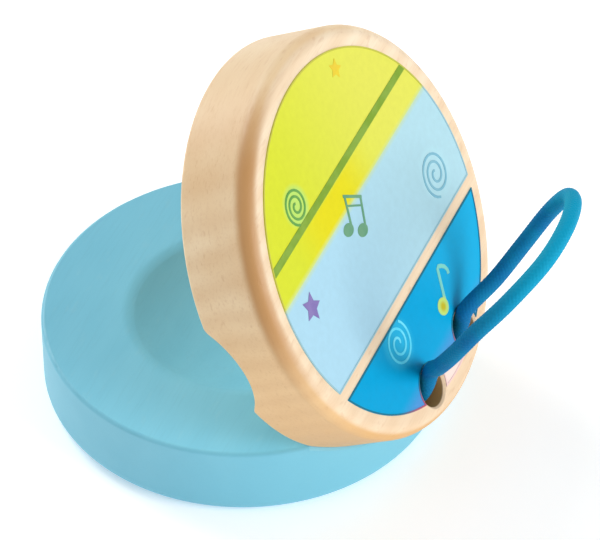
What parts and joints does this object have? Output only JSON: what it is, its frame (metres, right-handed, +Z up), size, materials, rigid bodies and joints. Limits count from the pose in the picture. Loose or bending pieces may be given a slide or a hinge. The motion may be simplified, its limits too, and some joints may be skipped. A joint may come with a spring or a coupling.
{
  "type": "castanets",
  "caption": "Children's wooden castanets: two round hollowed shells that rock on a bevelled crest, strung with a looped elastic cord for the finger.",
  "frame": {"origin": "centre of the lower shell's flat outer face, which the castanets rest on", "axes": "+Z up, square to the lower shell's faces; +X from the shell's centre towards the hinge and the cord; +Y along the hinge crest"},
  "size_m": [0.0802, 0.06, 0.0606],
  "materials": {
    "blue_paint": "turned beech under pale sky-blue paint, satin",
    "bare_beech": "pale beech with clear satin lacquer",
    "blue_elastic": "round braided elastic, bright blue",
    "lime_ink": "screen-printed ink, satin",
    "sky_ink": "screen-printed ink, satin",
    "bright_blue_ink": "screen-printed ink, satin",
    "outline_ink": "screen-printed ink, satin",
    "green_ink": "screen-printed ink, satin",
    "teal_ink": "screen-printed ink, satin",
    "pale_cyan_ink": "screen-printed ink, satin",
    "purple_ink": "screen-printed ink, satin",
    "gold_ink": "screen-printed ink, satin",
    "yellow_ink": "screen-printed ink, satin"
  },
  "bodies": {
    "lower": {"lower_shell": "blue_paint", "lower_strands": "blue_elastic", "cord_knot": "blue_elastic"},
    "upper": {"upper_shell": "bare_beech", "upper_strands": "blue_elastic", "lime_field": "lime_ink", "sky_field": "sky_ink", "blue_segment": "bright_blue_ink", "field_outlines": "outline_ink", "green_line": "green_ink", "green_notes": "green_ink", "green_spiral": "green_ink", "teal_spiral": "teal_ink", "cyan_spiral": "pale_cyan_ink", "purple_star": "purple_ink", "orange_star": "gold_ink", "yellow_note": "yellow_ink"},
    "finger_loop": {"finger_loop": "blue_elastic"}
  },
  "joints": [
    {"name": "clap", "type": "hinge", "parent": "lower", "child": "upper", "pos_m": [0.0197, 0, 0.0121], "axis": [0, -1, 0], "range_deg": [0, 60.7], "stiffness_Nm_per_rad": 0.03, "springref_deg": -20.05},
    {"name": "loop_swing", "type": "hinge", "parent": "upper", "child": "finger_loop", "pos_m": [0.0322, 0, 0.01762], "axis": [0, 1, 0], "range_deg": [-45, 60], "stiffness_Nm_per_rad": 0.004}
  ]
}
